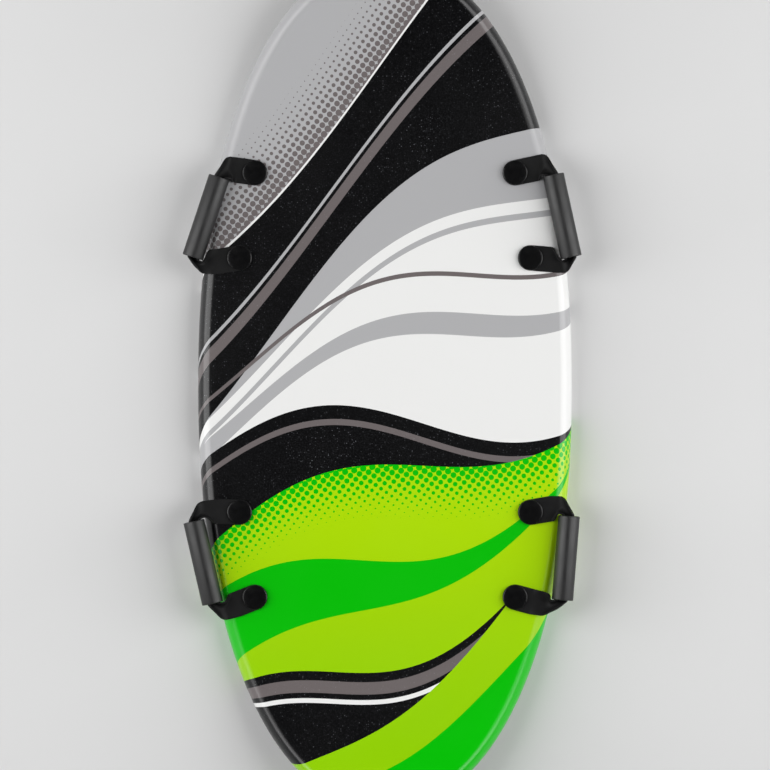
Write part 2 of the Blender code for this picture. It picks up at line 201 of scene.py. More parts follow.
# Studio
FLOOR_HALF = 30
PALE = 0.76
BACKDROP_REACH = (1.2, 2.4)  # the floor turns into backdrop between these distances from the object
ROOM_FADE = (0.10, 0.65)  # the room goes from pale to dim between these rises of the view
ROOM_TOP = 0.03
LAMP_OUT, LAMP_ALONG, LAMP_UP = 2.8, 0.2, 2.2
LAMP_SIZE = (2.2, 4.2)
LAMP_POWER = 113

# Photograph's frame
FRAME_WIDTH = 1.0096
CAMERA_HEIGHT = 6.0
SCALE_LEVEL = 15 * MM  # the height at which the frame is that wide


class Shader:
    """A node material with a Principled BSDF, and short calls for its nodes."""

    def __init__(self, name, **sockets):
        self.material = bpy.data.materials.new(name)
        self.material.use_nodes = True
        self.tree = self.material.node_tree
        self.bsdf = self.tree.nodes["Principled BSDF"]
        self.set(**sockets)

    def set(self, **sockets):
        for name, value in sockets.items():
            self.plug(value, self.bsdf.inputs[name.replace("_", " ")])

    def plug(self, value, socket):
        if isinstance(value, bpy.types.NodeSocket):
            self.tree.links.new(value, socket)
        elif isinstance(value, tuple) and socket.type == "RGBA":
            socket.default_value = (*value, 1)
        else:
            socket.default_value = value

    def node(self, kind, inputs=None, **settings):
        node = self.tree.nodes.new(kind)
        for name, value in settings.items():
            setattr(node, name, value)
        for key, value in (inputs or {}).items():
            self.plug(value, node.inputs[key])
        return node

    def math(self, operation, *values):
        return self.node("ShaderNodeMath", dict(enumerate(values)), operation=operation).outputs[0]

    def vector(self, operation, inputs):
        return self.node("ShaderNodeVectorMath", inputs, operation=operation)

    def place(self):
        """The point in the piece's own space."""
        return self.node("ShaderNodeTexCoord").outputs["Object"]

    def stretched(self, place, scale):
        return self.node("ShaderNodeMapping", {"Vector": place, "Scale": scale}).outputs[0]

    def noise(self, place, scale, detail=2.0, roughness=0.5):
        inputs = {"Vector": place, "Scale": scale, "Detail": detail, "Roughness": roughness}
        return self.node("ShaderNodeTexNoise", inputs).outputs[0]

    def ramp(self, value, low, high, to_low=0.0, to_high=1.0):
        inputs = {0: value, 1: low, 2: high, 3: to_low, 4: to_high}
        return self.node("ShaderNodeMapRange", inputs, interpolation_type="SMOOTHSTEP").outputs[0]

    def mix(self, factor, under, over, blend_type="MIX"):
        node = self.node("ShaderNodeMix", data_type="RGBA", blend_type=blend_type)
        for index, value in ((0, factor), (6, under), (7, over)):
            self.plug(value, node.inputs[index])
        return node.outputs[2]

    def bump(self, height, distance, strength, onto=None):
        inputs = {"Height": height, "Distance": distance, "Strength": strength}
        if onto:
            inputs["Normal"] = onto
        return self.node("ShaderNodeBump", inputs).outputs[0]


def print_ink(shader, place):
    """The deck's print: waves of ink laid over each other from nose to tail."""
    split = shader.node("ShaderNodeSeparateXYZ", {0: place})
    x, y = split.outputs[0], split.outputs[1]
    above = {}
    for name, (middle, slope, swing, length, phase) in WAVES.items():
        angle = shader.math("MULTIPLY_ADD", x, math.tau / length, math.tau * phase)
        line = shader.math("MULTIPLY_ADD", x, slope, middle)
        height = shader.math("MULTIPLY_ADD", shader.math("SINE", angle), swing, line)
        above[name] = shader.math("SUBTRACT", y, height)

    def over(name):
        return shader.math("GREATER_THAN", above[name], 0.0)

    def under(name):
        return shader.math("LESS_THAN", above[name], 0.0)

    def between(upper, lower):
        return shader.math("MULTIPLY", under(upper), over(lower))

    def stripe(name, offset, width):
        away = shader.math("ABSOLUTE", shader.math("SUBTRACT", above[name], offset))
        return shader.math("LESS_THAN", away, width / 2)

    def dots(radius):
        """A grid of dots, with a radius in shares of its pitch."""
        turned = shader.node("ShaderNodeVectorRotate", {"Vector": place, "Angle": DOT_TURN})
        cells = shader.node("ShaderNodeSeparateXYZ", {0: turned.outputs[0]})
        squares = []
        for axis in (0, 1):
            cell = shader.math("DIVIDE", cells.outputs[axis], DOT_PITCH)
            away = shader.math("SUBTRACT", shader.math("FRACT", cell), 0.5)
            squares.append(shader.math("POWER", away, 2.0))
        middle_out = shader.math("SQRT", shader.math("ADD", *squares))
        return shader.math("LESS_THAN", middle_out, radius)

    def fading(name, largest, reach):
        """A radius that shrinks from the wave to nothing, towards the nose or, below 0, the tail."""
        return shader.math("MULTIPLY_ADD", above[name], -largest / reach, largest)

    nose_dots = shader.math("MULTIPLY", over("silver_edge"), dots(fading("silver_edge", *NOSE_DOTS)))
    belt = between("belt_foot", "green_top")
    belt_dots = shader.math("MULTIPLY", belt, dots(fading("belt_foot", *BELT_DOTS)))
    # The lime darkens towards the tail.
    lime = shader.mix(shader.ramp(y, -0.10, -0.50), LIME, DEEP_LIME)
    layers = [
        (over("white_edge"), SILVER),
        (nose_dots, GREY),
        (stripe("silver_edge", 0.0, 0.008), WHITE),
        (between("silver_edge", "nose_black_edge"), BLACK),
        (stripe("nose_stripe", 0.0, 0.020), GREY),
        (stripe("nose_stripe", 0.020, 0.006), SILVER),
        (stripe("white_edge", -0.020, 0.008), SILVER),
        (between("band_top", "band_foot"), SILVER),
        (stripe("band_top", 0.050, 0.006), GREY),
        (under("belt_top"), BLACK),
        (stripe("belt_top", -0.022, 0.008), GREY),
        (under("belt_foot"), lime),
        (between("green_top", "green_foot"), GREEN),
        (belt_dots, GREEN),
        (under("tail_black_edge"), BLACK),
        (stripe("tail_black_edge", -0.020, 0.016), GREY),
        (stripe("tail_black_edge", -0.038, 0.006), WHITE),
        (under("tail_lime_edge"), lime),
        (under("tail_green_edge"), GREEN),
    ]
    color = WHITE
    for mask, ink in layers:
        color = shader.mix(mask, color, ink)
    return color


def over_the_rails(shader, place):
    """(flat, rail): where a point of the film lies once its rails are rolled out flat, and a share that
    grows from 0 on the deck to 1 round the rails."""
    split = shader.node("ShaderNodeSeparateXYZ", {0: place}).outputs
    powers, slopes = [], []
    for axis, half in ((0, WIDTH / 2), (1, LENGTH / 2)):
        share = shader.math("DIVIDE", shader.math("ABSOLUTE", split[axis]), half)
        powers.append(shader.math("POWER", share, OUTLINE_POWER))
        slope = shader.math("DIVIDE", shader.math("POWER", share, OUTLINE_POWER - 1), half)
        slopes.append(shader.math("MULTIPLY", slope, shader.math("SIGN", split[axis])))
    past = shader.math("SUBTRACT", shader.math("ABSOLUTE", split[1]), FLAT_HALF)
    past = shader.math("DIVIDE", shader.math("MAXIMUM", past, 0.0), LENGTH / 2 - FLAT_HALF)
    deck = shader.math("MULTIPLY_ADD", shader.math("POWER", past, 2.0), TIP_RISE, THICKNESS)
    drop = shader.math("MAXIMUM", shader.math("SUBTRACT", deck, split[2]), 0.0)
    outwards = shader.node("ShaderNodeCombineXYZ", dict(enumerate(slopes))).outputs[0]
    outwards = shader.vector("NORMALIZE", {0: outwards}).outputs[0]
    rolled_out = shader.vector("SCALE", {0: outwards, "Scale": drop}).outputs[0]
    flat = shader.vector("ADD", {0: place, 1: rolled_out}).outputs[0]

    reach = shader.math("POWER", shader.math("ADD", *powers), 1 / OUTLINE_POWER)
    plan = shader.stretched(place, (1.0, 1.0, 0.0))
    from_middle = shader.vector("LENGTH", {0: plan}).outputs["Value"]
    inset = shader.math("SUBTRACT", shader.math("DIVIDE", from_middle, reach), from_middle)
    return flat, shader.ramp(inset, *GLOSSY_RAIL)


def film_material():
    """Printed film over foam, embossed with fine cells, with their glints and the sparkle of its grain
    painted into its dark inks, and glossier where it is drawn smooth round the rails."""
    shader = Shader("printed_film", Specular_IOR_Level=0.22, Coat_Roughness=0.2)
    place = shader.place()
    flat, rail = over_the_rails(shader, place)
    ink = print_ink(shader, flat)
    cells = shader.node("ShaderNodeTexVoronoi", {"Vector": place, "Scale": 420.0})
    chance = shader.node("ShaderNodeSeparateColor", {0: cells.outputs["Color"]}).outputs[0]
    facet = shader.ramp(cells.outputs["Distance"], 0.36, 0.10)
    # painted glints: sparse bright specks stand in for embossed cells catching the light
    painted_glint = shader.math("MULTIPLY", facet, shader.math("POWER", chance, 6.0))
    patch = shader.ramp(shader.noise(place, 16.0), 0.36, 0.64, 0.35)
    # painted sparkle: fine noise that lightens the dark inks where the embossed grain would catch the light
    grain = shader.ramp(shader.noise(place, 620.0, 1.0), 0.42, 0.72)
    dark = shader.ramp(shader.node("ShaderNodeRGBToBW", {0: ink}).outputs[0], *DARK_INK)
    painted_glint = shader.math("MULTIPLY", shader.math("MULTIPLY", painted_glint, patch), dark)
    grain = shader.math("MULTIPLY", grain, dark)
    # the painted glints lighten the dark inks
    ink = shader.mix(painted_glint, ink, PAINTED_GLINT, "ADD")
    # the painted grain sparkle lightens the dark inks
    ink = shader.mix(grain, ink, PAINTED_GRAIN_SPARKLE, "ADD")
    wear = shader.noise(place, 9.0, 4.0, 0.6)
    fine = shader.noise(place, 1100.0, 1.0)
    height = shader.math("MULTIPLY_ADD", cells.outputs["Distance"], -0.7, fine)
    swell = shader.bump(shader.noise(place, 14.0, 1.0), 0.5 * MM, 0.3)
    shader.set(
        Base_Color=ink,
        Roughness=shader.ramp(wear, 0.3, 0.7, 0.28, 0.32),
        Normal=shader.bump(height, 0.12 * MM, 0.35, swell),
        Coat_Weight=shader.math("MULTIPLY", rail, RAIL_COAT),
    )
    return shader.material


def slick_material():
    """Glossy plastic sheet with the fine lengthwise scratches that sliding leaves."""
    shader = Shader("slick_sheet", Specular_IOR_Level=0.4)
    place = shader.place()
    along = shader.noise(shader.stretched(place, (900.0, 12.0, 900.0)), 1.0, 3.0, 0.7)
    scratch = shader.ramp(along, 0.60, 0.78)
    scuff = shader.noise(place, 7.0, 5.0, 0.6)
    shader.set(
        Base_Color=shader.mix(scratch, (0.010, 0.010, 0.011), (0.05, 0.05, 0.053)),
        Roughness=shader.ramp(scuff, 0.3, 0.7, 0.18, 0.36),
        Normal=shader.bump(along, 0.05 * MM, 0.3),
    )
    return shader.material


def foam_material():
    """Closed-cell foam, as it shows in the seam between skin and bottom."""
    shader = Shader("cut_foam", Specular_IOR_Level=0.3, Roughness=0.9)
    place = shader.place()
    cells = shader.node("ShaderNodeTexVoronoi", {"Vector": place, "Scale": 1200.0}).outputs["Distance"]
    shader.set(
        Base_Color=shader.mix(cells, (0.50, 0.50, 0.49), (0.74, 0.74, 0.72)),
        Normal=shader.bump(cells, 0.2 * MM, 0.5),
    )
    return shader.material


def strap_material():
    """Smooth matte rubbery strap with a very fine grain."""
    shader = Shader("strap_rubber", Specular_IOR_Level=0.15)
    place = shader.place()
    grain = shader.noise(place, 2600.0, 2.0)
    cloud = shader.noise(place, 60.0, 3.0)
    shader.set(
        Base_Color=shader.mix(shader.ramp(cloud, 0.3, 0.7), (0.006, 0.006, 0.0063), (0.009, 0.009, 0.0093)),
        Roughness=shader.ramp(cloud, 0.3, 0.7, 0.50, 0.60),
        Normal=shader.bump(grain, 0.05 * MM, 0.4),
    )
    return shader.material


def grip_material():
    """Drawn plastic tube: satin, with faint lines along its length."""
    shader = Shader("grip_tube", Specular_IOR_Level=0.55)
    place = shader.place()
    along = shader.noise(shader.stretched(place, (420.0, 420.0, 7.0)), 1.0, 2.0, 0.5)
    cloud = shader.noise(place, 45.0, 3.0)
    fine = shader.bump(shader.noise(place, 1500.0, 2.0), 0.03 * MM, 0.3)
    shader.set(
        Base_Color=shader.mix(shader.ramp(cloud, 0.3, 0.7), (0.005, 0.005, 0.0053), (0.009, 0.009, 0.0094)),
        Roughness=shader.ramp(cloud, 0.3, 0.7, 0.42, 0.50),
        Normal=shader.bump(along, 0.25 * MM, 0.35, fine),
    )
    return shader.material


def stud_material():
    """Moulded black plastic with a light satin grain."""
    shader = Shader("moulded_stud", Specular_IOR_Level=0.45)
    place = shader.place()
    grain = shader.noise(place, 1800.0, 2.0)
    cloud = shader.noise(place, 90.0, 2.0)
    shader.set(
        Base_Color=shader.mix(cloud, (0.0015, 0.0015, 0.0018), (0.0025, 0.0025, 0.0028)),
        Roughness=shader.ramp(cloud, 0.3, 0.7, 0.20, 0.26),
        Normal=shader.bump(grain, 0.03 * MM, 0.3),
    )
    return shader.material


def floor_material():
    """Pale floor. Far from the object it looks like an even pale backdrop, and lights nothing as one."""
    shader = Shader("studio_floor", Roughness=0.8, Specular_IOR_Level=0.2)
    place = shader.place()
    cloud = shader.noise(place, 3.0, 3.0)
    shader.set(Base_Color=shader.mix(cloud, (0.70, 0.70, 0.70), (0.74, 0.74, 0.74)))
    away = shader.vector("LENGTH", {0: place}).outputs["Value"]
    rays = shader.node("ShaderNodeLightPath").outputs
    seen = shader.math("MAXIMUM", rays["Is Camera Ray"], rays["Is Glossy Ray"])
    backdrop = shader.math("MULTIPLY", shader.ramp(away, *BACKDROP_REACH), seen)
    glow = shader.node("ShaderNodeEmission", {"Color": (PALE, PALE, PALE)}).outputs[0]
    inputs = {0: backdrop, 1: shader.bsdf.outputs[0], 2: glow}
    both = shader.node("ShaderNodeMixShader", inputs).outputs[0]
    shader.plug(both, shader.tree.nodes["Material Output"].inputs[0])
    return shader.material


def outline_point(index, inset):
    """A point on the board's outline, moved straight inwards. The points straddle both tips."""
    angle = (index + 0.5) * math.tau / OUTLINE_POINTS
    across, along = math.sin(angle), math.cos(angle)
    half = Vector((WIDTH / 2, LENGTH / 2))
    unit = Vector(math.copysign(abs(c) ** (2 / OUTLINE_POWER), c) for c in (across, along))
    outward = Vector(math.copysign(abs(c) ** (OUTLINE_POWER - 1), c) / h for c, h in zip(unit, half))
    return Vector((unit.x * half.x, unit.y * half.y)) - outward.normalized() * inset


def rocker(y):
    past = max(abs(y) - FLAT_HALF, 0) / (LENGTH / 2 - FLAT_HALF)
    return TIP_RISE * past**2


def rail_profile():
    """(inset, height) from the lip under the rail up to the deck."""
    points = []
    for step in range(TUCK_STEPS + 1):
        angle = math.pi / 2 * step / TUCK_STEPS
        points.append((TUCK - TUCK * math.sin(angle), SKIN_LIP + TUCK - TUCK * math.cos(angle)))
    for step in range(RAIL_STEPS + 1):
        angle = math.pi / 2 * step / RAIL_STEPS
        inset = RAIL_WIDTH - RAIL_WIDTH * math.cos(angle)
        points.append((inset, THICKNESS - RAIL_DROP + RAIL_DROP * math.sin(angle)))
    return points


def stud_place(handle, end):
    """A stud's place on the board. The tip stud is the fore one at the nose and the aft one at the tail."""
    across, along = TIP_STUD if end == handle.end else WAIST_STUD
    return Vector((handle.side * across, handle.end * along))


STUD_PLACES = [stud_place(h, e) for h in HANDLES.values() for e in ENDS.values()]


def dish(x, y):
    reach = min((Vector((x, y)) - place).length for place in STUD_PLACES)
    return DISH_DEPTH * math.exp(-((reach / DISH_RADIUS) ** 2))


def new_object(name, mesh, material, matrix=None):
    obj = bpy.data.objects.new(name, mesh)
    bpy.context.scene.collection.objects.link(obj)
    if matrix:
        obj.matrix_world = matrix
    if not mesh.materials:
        mesh.materials.append(material)
    return obj


def to_mesh(bm, name):
    mesh = bpy.data.meshes.new(name)
    bm.to_mesh(mesh)
    bm.free()
    return mesh


def finish_shape(obj, smooth_angle=35):
    """Apply the object's modifiers, then smooth it up to an angle between faces."""
    evaluated = obj.evaluated_get(bpy.context.evaluated_depsgraph_get())
    mesh = bpy.data.meshes.new_from_object(evaluated)
    obj.modifiers.clear()
    obj.data = mesh
    mesh.shade_smooth()
    mesh.set_sharp_from_angle(angle=math.radians(smooth_angle))


def solidify(obj, thickness, offset, even=True):
    modifier = obj.modifiers.new("Thickness", "SOLIDIFY")
    modifier.thickness = thickness
    modifier.offset = offset
    modifier.use_even_offset = even


def bevel(obj, width):
    modifier = obj.modifiers.new("Round", "BEVEL")
    modifier.width = width
    modifier.segments = 2
    modifier.limit_method = "ANGLE"
    modifier.angle_limit = SHARP_EDGE


def cut(obj, tool):
    boolean = obj.modifiers.new("Cut", "BOOLEAN")
    boolean.operation = "DIFFERENCE"
    boolean.object = tool


def peg_cutter(name, places, radius, low, high):
    """One object with an upright cylinder at each place."""
    bm = bmesh.new()
    for place in places:
        bmesh.ops.create_cone(
            bm,
            cap_ends=True,
            segments=TURNED_SIDES,
            radius1=radius,
            radius2=radius,
            depth=high - low,
            matrix=Matrix.Translation((*place, (low + high) / 2)),
        )
    return new_object(name, to_mesh(bm, name), None)


def remove(*objects):
    for obj in objects:
        bpy.data.objects.remove(obj)


def ring_of(bm, inset, height):
    return [bm.verts.new((*outline_point(i, inset), height)) for i in range(OUTLINE_POINTS)]


def fill_across(bm, ring, columns):
    """Fill a ring with a grid of rungs from side to side, closed with one face at each tip."""
    rungs = []
    for i in range(1, OUTLINE_POINTS // 2 - 1):
        left, right = ring[-1 - i], ring[i]
        inner = [left.co.lerp(right.co, k / columns) for k in range(1, columns)]
        rungs.append([left, *(bm.verts.new(co) for co in inner), right])
    faces = [[ring[-1], *rungs[0], ring[0]]]
    for upper, lower in zip(rungs, rungs[1:]):
        for k in range(columns):
            faces.append([upper[k], lower[k], lower[k + 1], upper[k + 1]])
    tail = OUTLINE_POINTS // 2
    faces.append([*reversed(rungs[-1]), ring[tail], ring[tail - 1]])
    for face in faces:
        bm.faces.new(face)


def lift_ends(mesh):
    for vertex in mesh.vertices:
        vertex.co.z += rocker(vertex.co.y)


def deck_film(material):
    """The printed skin over the deck and round the rails."""
    bm = bmesh.new()
    ring = None
    for inset, height in rail_profile():
        upper = ring_of(bm, inset, height)
        if ring:
            for i in range(OUTLINE_POINTS):
                j = (i + 1) % OUTLINE_POINTS
                bm.faces.new((ring[i], upper[i], upper[j], ring[j]))
        ring = upper
    fill_across(bm, ring, DECK_COLUMNS)
    for vertex in bm.verts:
        if vertex.co.z > THICKNESS - RAIL_DROP:
            vertex.co.z -= dish(vertex.co.x, vertex.co.y)
    obj = new_object("deck_film", to_mesh(bm, "deck_film"), material)
    solidify(obj, SKIN_THICKNESS, -1)
    radius = POST_RADIUS + POST_CLEARANCE
    tool = peg_cutter("film_holes", STUD_PLACES, radius, THICKNESS / 2, THICKNESS * 2)
    cut(obj, tool)
    finish_shape(obj)
    remove(tool)
    lift_ends(obj.data)
    return obj


def bottom_sheet(material):
    bm = bmesh.new()
    fill_across(bm, ring_of(bm, SHEET_INSET, SHEET_THICKNESS), DECK_COLUMNS // 2)
    obj = new_object("bottom_sheet", to_mesh(bm, "bottom_sheet"), material)
    solidify(obj, SHEET_THICKNESS, -1)
    radius = SCREW_HEAD_RADIUS + HEAD_CLEARANCE
    tool = peg_cutter("sheet_holes", STUD_PLACES, radius, -TUCK, TUCK)
    cut(obj, tool)
    bevel(obj, SHEET_ROUND)
    finish_shape(obj)
    remove(tool)
    lift_ends(obj.data)
    return obj


def rounded(points, radii):
    """A profile with each corner replaced by an arc of its radius, or kept where the radius is 0."""
    out = []
    for i, (corner, radius) in enumerate(zip(points, radii)):
        here = Vector(corner)
        if not radius:
            out.append(here)
            continue
        to_last = (Vector(points[i - 1]) - here).normalized()
        to_next = (Vector(points[(i + 1) % len(points)]) - here).normalized()
        half = to_last.angle(to_next) / 2
        middle = here + (to_last + to_next).normalized() * radius / math.sin(half)
        start = (here + to_last * radius / math.tan(half) - middle).normalized()
        stop = (here + to_next * radius / math.tan(half) - middle).normalized()
        for step in range(FILLET_STEPS + 1):
            out.append(middle + start.slerp(stop, step / FILLET_STEPS) * radius)
    return out


def turned_mesh(name, profile, closed=False):
    """Spin a profile of (radius, height) points round Z. A closed one is a ring, such as a tube's wall."""
    bm = bmesh.new()
    rings = []
    for radius, height in profile:
        if radius < MM / 1000:
            rings.append([bm.verts.new((0, 0, height))])
            continue
        angles = (math.tau * k / TURNED_SIDES for k in range(TURNED_SIDES))
        rings.append(
            [bm.verts.new((radius * math.cos(a), radius * math.sin(a), height)) for a in angles]
        )
    pairs = list(zip(rings, rings[1:]))
    if closed:
        pairs.append((rings[-1], rings[0]))
    for upper, lower in pairs:
        for k in range(TURNED_SIDES):
            n = (k + 1) % TURNED_SIDES
            corners = [upper[k % len(upper)], lower[k % len(lower)]]
            corners += [lower[n % len(lower)], upper[n % len(upper)]]
            bm.faces.new(dict.fromkeys(corners))
    bmesh.ops.recalc_face_normals(bm, faces=bm.faces)
    mesh = to_mesh(bm, name)
    mesh.shade_smooth()
    mesh.set_sharp_from_angle(angle=math.radians(40))
    return mesh


def cap_mesh():
    under = THICKNESS + STRAP_THICKNESS + 2 * GAP
    top = under + CAP_HEIGHT
    rim = top - CAP_CROWN
    crown = [(CAP_RADIUS * share, rim + CAP_CROWN * (1 - share**2)) for share in (0, 0.3, 0.6, 0.82)]
    corners = [
        (CAP_RADIUS, rim),
        (CAP_RADIUS, under),
        (POST_RADIUS, under),
        (POST_RADIUS, POST_FOOT),
        (POST_BORE_RADIUS, POST_FOOT),
        (POST_BORE_RADIUS, POST_BORE_TOP),
        (0, POST_BORE_TOP),
    ]
    radii = [0] * len(crown) + [CAP_ROUND, CAP_FOOT_ROUND] + [0] * 5
    profile = rounded([*crown, *corners], radii)
    return turned_mesh("cap", profile)


def screw_object(name, material):
    """A plain screw up into the cap's post, with a wide slotted head."""
    head_top = SCREW_HEAD_FOOT + SCREW_HEAD_HEIGHT
    corners = [
        (0, SCREW_TOP),
        (SCREW_RADIUS, SCREW_TOP),
        (SCREW_RADIUS, head_top),
        (SCREW_HEAD_RADIUS, head_top),
        (SCREW_HEAD_RADIUS, SCREW_HEAD_FOOT),
        (0, SCREW_HEAD_FOOT),
    ]
    profile = rounded(corners, [0, 1 * MM, 0, 0.3 * MM, SCREW_HEAD_ROUND, 0])
    screw = new_object(name, turned_mesh(name, profile), material)
    length, width, depth = SCREW_SLOT
    bm = bmesh.new()
    bmesh.ops.create_cube(bm, size=1)
    bmesh.ops.scale(bm, vec=(length, width, 2 * depth), verts=bm.verts)
    bmesh.ops.translate(bm, vec=(0, 0, SCREW_HEAD_FOOT), verts=bm.verts)
    tool = new_object("slot", to_mesh(bm, "slot"), None)
    cut(screw, tool)
    finish_shape(screw, 40)
    remove(tool)
    return screw


def sleeve_mesh():
    top = SLEEVE_LENGTH / 2
    corners = [
        (SLEEVE_BORE_RADIUS, top),
        (SLEEVE_RADIUS, top),
        (SLEEVE_RADIUS, -top),
        (SLEEVE_BORE_RADIUS, -top),
    ]
    radii = [SLEEVE_BORE_ROUND, SLEEVE_ROUND, SLEEVE_ROUND, SLEEVE_BORE_ROUND]
    return turned_mesh("sleeve", rounded(corners, radii), closed=True)


def handle_matrix(handle):
    """From a handle's own plan, where x runs along side and y towards the nose, to the board."""
    fore, aft = stud_place(handle, 1), stud_place(handle, -1)
    line = fore - aft
    turn = math.atan2(-line.x, line.y)
    middle = Matrix.Translation((*(fore + aft) / 2, 0))
    return middle @ Matrix.Rotation(turn, 4, "Z"), line.length


# In a handle's own plan, u runs outwards from the studs' line and v towards the nose.
def sleeve_axis(handle):
    return Vector((-math.sin(handle.splay), math.cos(handle.splay)))


def strap_frame(handle, end, stud_spacing, lie):
    """(stud, mouth, aim, across): where one end of the strap starts and where it enters the sleeve, the
    direction in which it leaves its stud, and the direction across it, away from the handle's middle."""
    stud = Vector((0, end * stud_spacing / 2))
    axis = sleeve_axis(handle)
    middle = Vector((handle.reach, handle.shift))
    mouth = middle + axis * end * (SLEEVE_LENGTH / 2 + MOUTH_GAP)
    aim = (mouth + axis * end * lie.past - stud).normalized()
    across = Vector((-aim.y, aim.x)) * end
    return stud, mouth, aim, across


def along(points, share):
    """The point that is a share of the way along a line of points."""
    lengths = [(b - a).length for a, b in zip(points, points[1:])]
    left = share * sum(lengths)
    for a, b, length in zip(points, points[1:], lengths):
        if left <= length:
            return a.lerp(b, left / length)
        left -= length
    return points[-1]


def on_edge(before, after, t):
    """A point on a strap's edge, from the two lines of points before and after its turn."""

    def sharp(t):
        if t < TURN_SHARE:
            return along(before, t / TURN_SHARE)
        return along(after, (t - TURN_SHARE) / (1 - TURN_SHARE))

    reach = min(t, 1 - t, TURN_ROUNDING)
    shares = [reach * k / ROUNDING_STEPS for k in range(-ROUNDING_STEPS, ROUNDING_STEPS + 1)]
    return sum((sharp(t + share) for share in shares), Vector((0, 0))) / len(shares)


def half_curl(chord):
    """Half the angle of an arc as long as the strap is wide, over a chord."""
    flat, shut = FLATTEST, math.pi
    while shut - flat > FLATTEST / 10:
        angle = (flat + shut) / 2
        if math.sin(angle) / angle > chord / STRAP_WIDTH:
            flat = angle
        else:
            shut = angle
    return flat


def at_hinge(start, aim, out):
    return start + aim * ((out - start.x) / aim.x)


def flat_row(near, far, level):
    return [(*near.lerp(far, k / STRAP_COLUMNS), level) for k in range(STRAP_COLUMNS + 1)]


def strap_end_rows(handle, end, stud_spacing, lie):
    """(tip, rows): the outline of the strap's round flat end, and rows of points from it to the mouth."""
    stud, mouth, aim, across = strap_frame(handle, end, stud_spacing, lie)
    past_mouth = sleeve_axis(handle) * end
    outwards = Vector((sleeve_axis(handle).y, -sleeve_axis(handle).x))
    full_curl = STRAP_WIDTH / CURL_RADIUS / 2
    half_chord = outwards * CURL_RADIUS * math.sin(full_curl)
    half = STRAP_WIDTH / 2
    sides = [stud + across * sign * half for sign in (-1, 1)]
    around = [math.pi * (0.5 + step / TIP_STEPS) for step in range(TIP_STEPS + 1)]
    tip = [(*(stud + (aim * math.cos(a) + across * math.sin(a)) * half), STRAP_LEVEL) for a in around]
    rows = []
    for step in range(BEND_ROWS):
        out = CLAMPED_OUT + (HINGE_OUT - CLAMPED_OUT) * step / BEND_ROWS
        near, far = (at_hinge(side, aim, out) for side in sides)
        rows.append(flat_row(near, far, STRAP_LEVEL))
    beside_rim = mouth - outwards * (SLEEVE_RADIUS + SIDE_CLEARANCE) + past_mouth * RIM_CLEARANCE
    near_start, far_start = (at_hinge(side, aim, HINGE_OUT) for side in sides)
    near_turn = at_hinge(sides[0], aim, lie.near)
    far_turn = at_hinge(sides[1], aim, lie.far) - across * lie.draw
    curl_middle = mouth - outwards * CURL_INSET
    edges = [
        ([near_start, near_turn], [near_turn, beside_rim, curl_middle - half_chord]),
        ([far_start, far_turn], [far_turn, curl_middle + half_chord]),
    ]
    shares = [step / STRAP_STEPS for step in range(STRAP_STEPS + 1)]
    ladder = [[on_edge(*edge, share) for edge in edges] for share in shares]
    curls = [half_curl((far - near).length) for near, far in ladder]
    for _ in range(CURL_EASING):
        for k in range(1, EASED_STEPS):
            curls[k] = (curls[k - 1] + 2 * curls[k] + curls[k + 1]) / 4
    for (near, far), half_angle in zip(ladder, curls):
        chord = far - near
        radius = chord.length / 2 / math.sin(half_angle)
        rise = (SLEEVE_HEIGHT - CURL_RADIUS - STRAP_LEVEL) * (half_angle / full_curl) ** 2
        low = STRAP_LEVEL + rise
        row = []
        for column in range(STRAP_COLUMNS + 1):
            angle = half_angle * (2 * column / STRAP_COLUMNS - 1)
            plan = (near + far) / 2 + chord.normalized() * radius * math.sin(angle)
            row.append((*plan, low + radius * (1 - math.cos(angle))))
        rows.append(row)
    return tip, rows


def strap(handle_name, handle, material):
    """One strap from stud to stud: flat and round at its ends, curled up inside the sleeve."""
    name = f"strap_{handle_name}"
    matrix, stud_spacing = handle_matrix(handle)
    fore_tip, fore = strap_end_rows(handle, 1, stud_spacing, LIES[handle_name, 1])
    aft_tip, aft = strap_end_rows(handle, -1, stud_spacing, LIES[handle_name, -1])
    inside = []
    for k in range(1, SLEEVE_ROWS):
        pairs = zip(fore[-1], aft[-1])
        inside.append([tuple(Vector(a).lerp(Vector(b), k / SLEEVE_ROWS)) for a, b in pairs])
    bm = bmesh.new()

    def vertex(point):
        u, v, z = point
        return bm.verts.new(matrix @ Vector((handle.side * u, v, z)))

    grid = [[vertex(p) for p in row] for row in fore + inside + aft[::-1]]
    for above, below in zip(grid, grid[1:]):
        for k in range(STRAP_COLUMNS):
            bm.faces.new((above[k], above[k + 1], below[k + 1], below[k]))
    # The flat ends. A tip runs from its far side round to its near side.
    bm.faces.new([vertex(p) for p in fore_tip] + grid[0])
    bm.faces.new([vertex(p) for p in aft_tip] + grid[-1])
    bmesh.ops.recalc_face_normals(bm, faces=bm.faces)
    obj = new_object(name, to_mesh(bm, name), material)
    solidify(obj, STRAP_THICKNESS, 0, even=False)
    places = [stud_place(handle, end) for end in ENDS.values()]
    radius = POST_RADIUS + POST_CLEARANCE
    tool = peg_cutter("strap_holes", places, radius, THICKNESS / 2, THICKNESS * 2)
    cut(obj, tool)
    bevel(obj, STRAP_ROUND)
    finish_shape(obj, 50)
    remove(tool)
    return obj


def soft_lamp(name, place):
    """A wide lamp that shines towards the origin."""
    light = bpy.data.lights.new(name, "AREA")
    light.shape = "RECTANGLE"
    light.size, light.size_y = LAMP_SIZE
    light.energy = LAMP_POWER
    obj = bpy.data.objects.new(name, light)
    bpy.context.scene.collection.objects.link(obj)
    obj.location = place
    obj.rotation_euler = (-Vector(place)).to_track_quat("-Z", "Y").to_euler()
    obj.visible_camera = False


